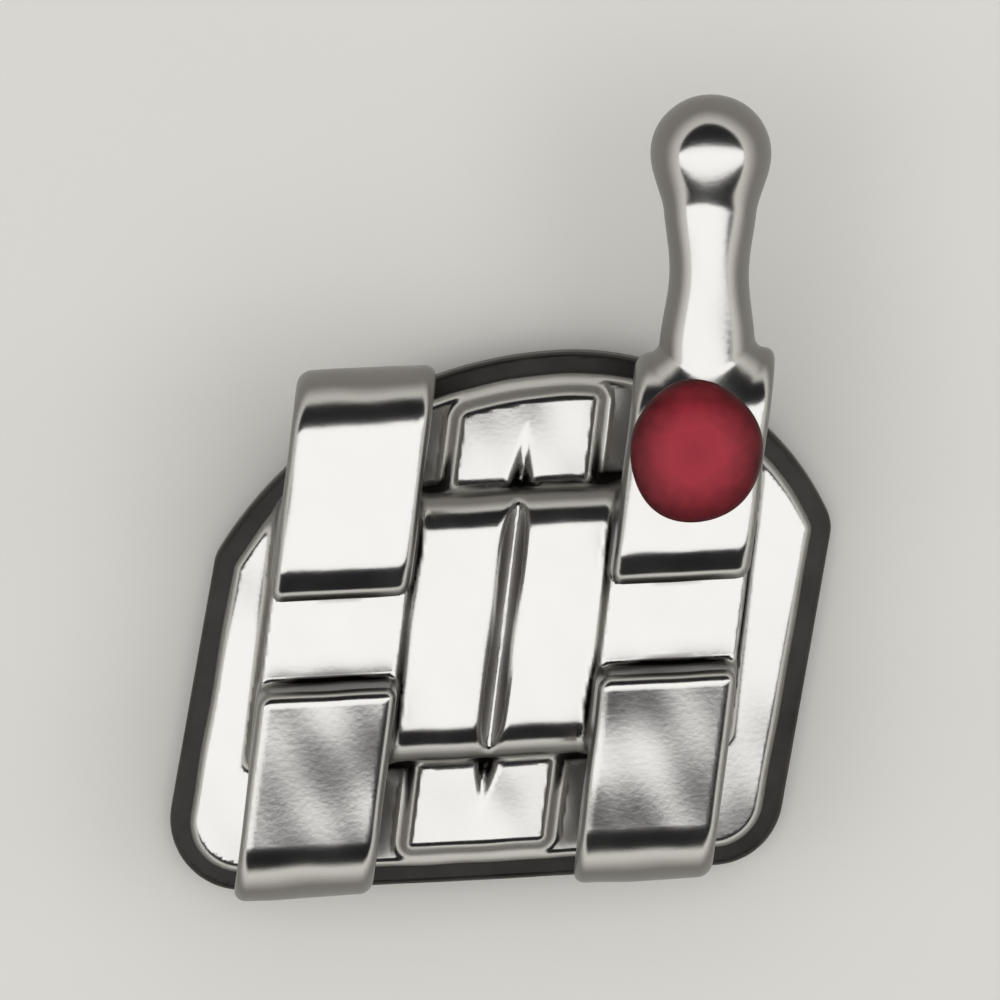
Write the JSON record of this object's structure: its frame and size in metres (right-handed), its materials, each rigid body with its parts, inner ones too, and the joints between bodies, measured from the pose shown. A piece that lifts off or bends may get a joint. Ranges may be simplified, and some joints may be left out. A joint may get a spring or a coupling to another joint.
{
  "type": "orthodontic bracket",
  "caption": "Tie-wing orthodontic bracket for an upper canine, with an archwire slot, a ball hook, a curved mesh bonding base and a painted marking dot.",
  "frame": {"origin": "base point, where the tooth's face meets the bonding base under the middle of the archwire slot", "axes": "+X along the archwire slot to the distal side, +Y to the gum, +Z away from the tooth"},
  "size_m": [0.0043, 0.0051, 0.0022],
  "materials": {
    "polished_steel": "sintered stainless steel, tumbled and polished",
    "mesh_steel": "stainless steel foil and woven wire mesh, matt",
    "marking_paint": "cured gloss paint, dark red"
  },
  "bodies": {
    "root": {"bracket_body": "polished_steel", "mesh_base": "mesh_steel", "id_dot": "marking_paint"}
  },
  "joints": []
}
